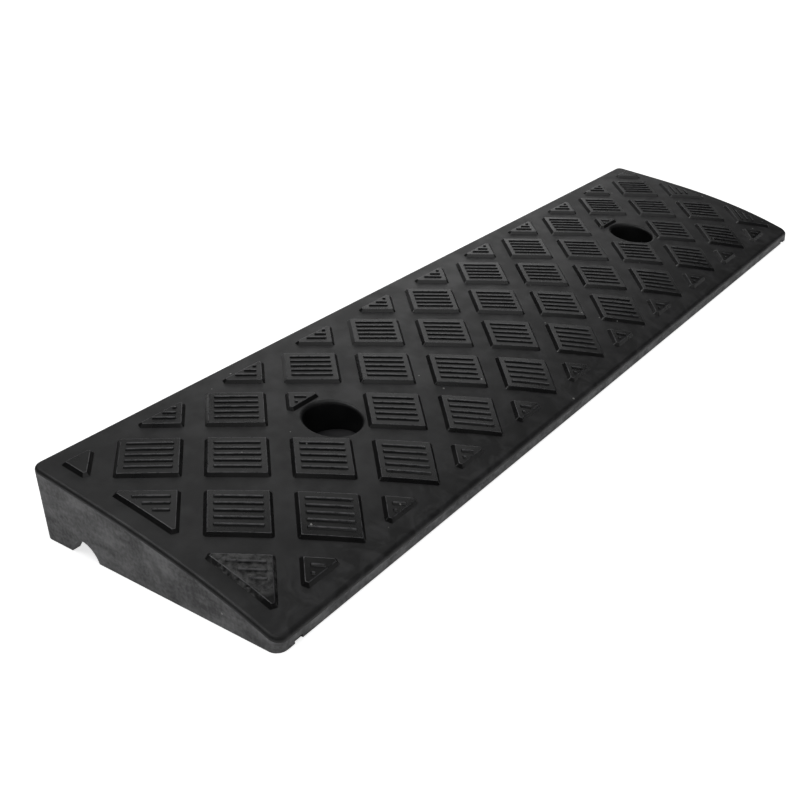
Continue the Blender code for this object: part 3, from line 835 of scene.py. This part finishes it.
# The kerb face lay on smooth steel, so its bloom is thinner and more even.
spot = add(tree, "SeparateXYZ", {"Vector": place}).outputs
at_kerb = add(
    tree, "MapRange", {"Value": spot["Y"], "From Min": 0.1235, "From Max": 0.1249, "To Max": 0.65}
)
shade = add(
    tree, "Mix", {SHARE: at_kerb, FIRST: shade, SECOND: linear("545455")}, data_type="RGBA"
)
along_wall = add(tree, "Math", {0: spot["X"], 1: spot["Y"]}, operation="ADD")
on_wall = add(tree, "CombineXYZ", {"X": along_wall, "Y": spot["Z"]})
crumbs = flecks(tree, on_wall, 0.014, 0.0009, 0.16)
shade = add(
    tree, "Mix", {SHARE: crumbs, FIRST: shade, SECOND: linear("b4b4b2")}, data_type="RGBA"
)
rubber = add(tree, "BsdfPrincipled", {"Base Color": shade, "Roughness": 0.75})
add(tree, "OutputMaterial", {"Surface": rubber})

SHARP_FROM = math.radians(24.0)
moulding.data.shade_smooth()
moulding.data.set_sharp_from_angle(angle=SHARP_FROM)
even = moulding.modifiers.new("even_shading", "WEIGHTED_NORMAL")
even.keep_sharp = True
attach(moulding, "root")
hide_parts("ramp_body")


# Anchor washers
# Each counterbore has a stamped steel washer on its floor, moulded in, so that the head of
# the anchor bolt can't pull through the rubber. The CAD node is shown as it is.

# A film of rubber, bled out of the mould, covers most of the steel. It leaves the washer
# nearly black, with spots of dull grey metal, 11 mm across, that hardly shine.
tree = emptied("filmed_steel")
place = add(tree, "TexCoord").outputs["Object"]
film = add(tree, "TexNoise", {"Vector": place, "Scale": 90.0, "Detail": 5.0})
film = add(tree, "MapRange", {
    "Value": film, "From Min": 0.30, "From Max": 0.60, "To Min": 1.0, "To Max": 0.55,
})
shade = add(
    tree, "Mix", {SHARE: film, FIRST: linear("5c5c5e"), SECOND: linear("141415")},
    data_type="RGBA",
)
bare = add(tree, "Math", {0: 1.0, 1: film}, operation="SUBTRACT")
steel = add(
    tree, "BsdfPrincipled", {"Base Color": shade, "Metallic": bare, "Roughness": 0.55}
)
add(tree, "OutputMaterial", {"Surface": steel})
for name in ("anchor_washer_left", "anchor_washer_right"):
    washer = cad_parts[name]
    washer.data.materials.clear()
    washer.data.materials.append(bpy.data.materials["filmed_steel"])


# Studio
# A white table with a matt laminate top, in a dim room. Softboxes stand over it, behind it
# and in front of it, and the camera looks down at the ramp as in the photo.

TABLE_HALF = 6.0
TABLE_SEEN = 0.75
TABLE_MIRRORED = 0.42
ROOM_LIGHT = 0.035
table = bmesh.new()
bmesh.ops.create_grid(table, x_segments=1, y_segments=1, size=TABLE_HALF)
table = as_object(table, "white_table")
# Matt laminate has no sheen. It glows up to white where the camera sees it, and less in a
# reflection. No matt surface gets light from this glow.
tree = emptied("white_laminate")
rays = add(tree, "LightPath").outputs
mirrored = add(
    tree, "Math", {0: rays["Is Glossy Ray"], 1: rays["Is Transmission Ray"]},
    operation="MAXIMUM",
)
mirrored = add(tree, "Math", {0: mirrored, 1: TABLE_MIRRORED}, operation="MULTIPLY")
glow = add(
    tree, "Math", {0: rays["Is Camera Ray"], 1: TABLE_SEEN, 2: mirrored},
    operation="MULTIPLY_ADD",
)
laminate = add(tree, "BsdfPrincipled", {
    "Base Color": linear("f4f4f4"), "Roughness": 0.9,
    "Emission Color": linear("ffffff"), "Emission Strength": glow,
})
add(tree, "OutputMaterial", {"Surface": laminate})
table.data.materials.append(bpy.data.materials["white_laminate"])

# The room lights the ramp very little. Past the table the camera sees it as white.
room = bpy.data.worlds.new("studio")
bpy.context.scene.world = room
room.use_nodes = True
tree = room.node_tree
tree.nodes.clear()
seen = add(
    tree, "Math",
    {0: add(tree, "LightPath").outputs["Is Camera Ray"], 1: 1.0 - ROOM_LIGHT, 2: ROOM_LIGHT},
    operation="MULTIPLY_ADD",
)
walls = add(tree, "Background", {"Color": linear("ffffff"), "Strength": seen})
add(tree, "OutputWorld", {"Surface": walls})

LAMP_DISTANCE = 12.0


def softbox(name, heading, elevation, across, up, radiance):
    """A soft rectangular lamp that faces the ramp, placed and sized by angles in degrees."""
    heading, elevation = math.radians(heading), math.radians(elevation)
    toward = Vector((
        math.cos(heading) * math.cos(elevation),
        math.sin(heading) * math.cos(elevation),
        math.sin(elevation),
    ))
    lamp = bpy.data.lights.new(name, "AREA")
    lamp.shape = "RECTANGLE"
    lamp.size = 2.0 * LAMP_DISTANCE * math.tan(math.radians(across / 2.0))
    lamp.size_y = 2.0 * LAMP_DISTANCE * math.tan(math.radians(up / 2.0))
    lamp.energy = radiance * math.pi * lamp.size * lamp.size_y
    made = bpy.data.objects.new(name, lamp)
    made.location = toward * LAMP_DISTANCE
    made.rotation_euler = toward.to_track_quat("Z", "Y").to_euler()
    bpy.context.scene.collection.objects.link(made)


# Name, then heading, elevation, width and height in degrees, then radiance.
for softbox_row in (
    ("lamp_above", 210.0, 87.0, 52.0, 40.0, 0.95),
    ("lamp_above_behind", 120.0, 66.0, 40.0, 16.0, 3.0),
    ("lamp_behind_low", 52.0, 8.0, 60.0, 10.0, 0.9),
    ("lamp_behind_mid", 37.0, 20.0, 28.0, 14.0, 1.4),
    ("lamp_behind_strip", 36.0, 31.0, 20.0, 6.0, 0.45),
    ("lamp_behind_far", 12.0, 29.0, 14.0, 8.0, 0.6),
    ("lamp_behind_right", 22.0, 38.0, 24.0, 8.0, 1.05),
    ("lamp_behind_high", 22.0, 47.0, 30.0, 8.0, 0.85),
    ("lamp_behind_left", 52.0, 52.0, 18.0, 20.0, 0.6),
    ("lamp_left", 195.0, 12.0, 59.0, 18.0, 0.3),
    ("lamp_right_front", 266.0, 53.0, 38.0, 22.0, 0.8),
):
    softbox(*softbox_row)

# The camera was solved from the lattice of pads and the outline in the photo.
LENS = 46.93
SENSOR = 36.0
CAMERA_PLACE = Vector((-0.87191, -0.51991, 0.46271))
HEADING = math.radians(37.5860)
PITCH = math.radians(27.2171)
ROLL = math.radians(-2.1401)
camera = bpy.data.objects.new("camera", bpy.data.cameras.new("camera"))
camera.data.lens = LENS
camera.data.sensor_width = SENSOR
look = Vector((
    math.cos(HEADING) * math.cos(PITCH),
    math.sin(HEADING) * math.cos(PITCH),
    -math.sin(PITCH),
))
camera.matrix_world = (
    Matrix.Translation(CAMERA_PLACE)
    @ look.to_track_quat("-Z", "Y").to_matrix().to_4x4()
    @ Matrix.Rotation(ROLL, 4, "Z")
)
bpy.context.scene.collection.objects.link(camera)
bpy.context.scene.camera = camera
bpy.context.scene.view_settings.view_transform = "Standard"
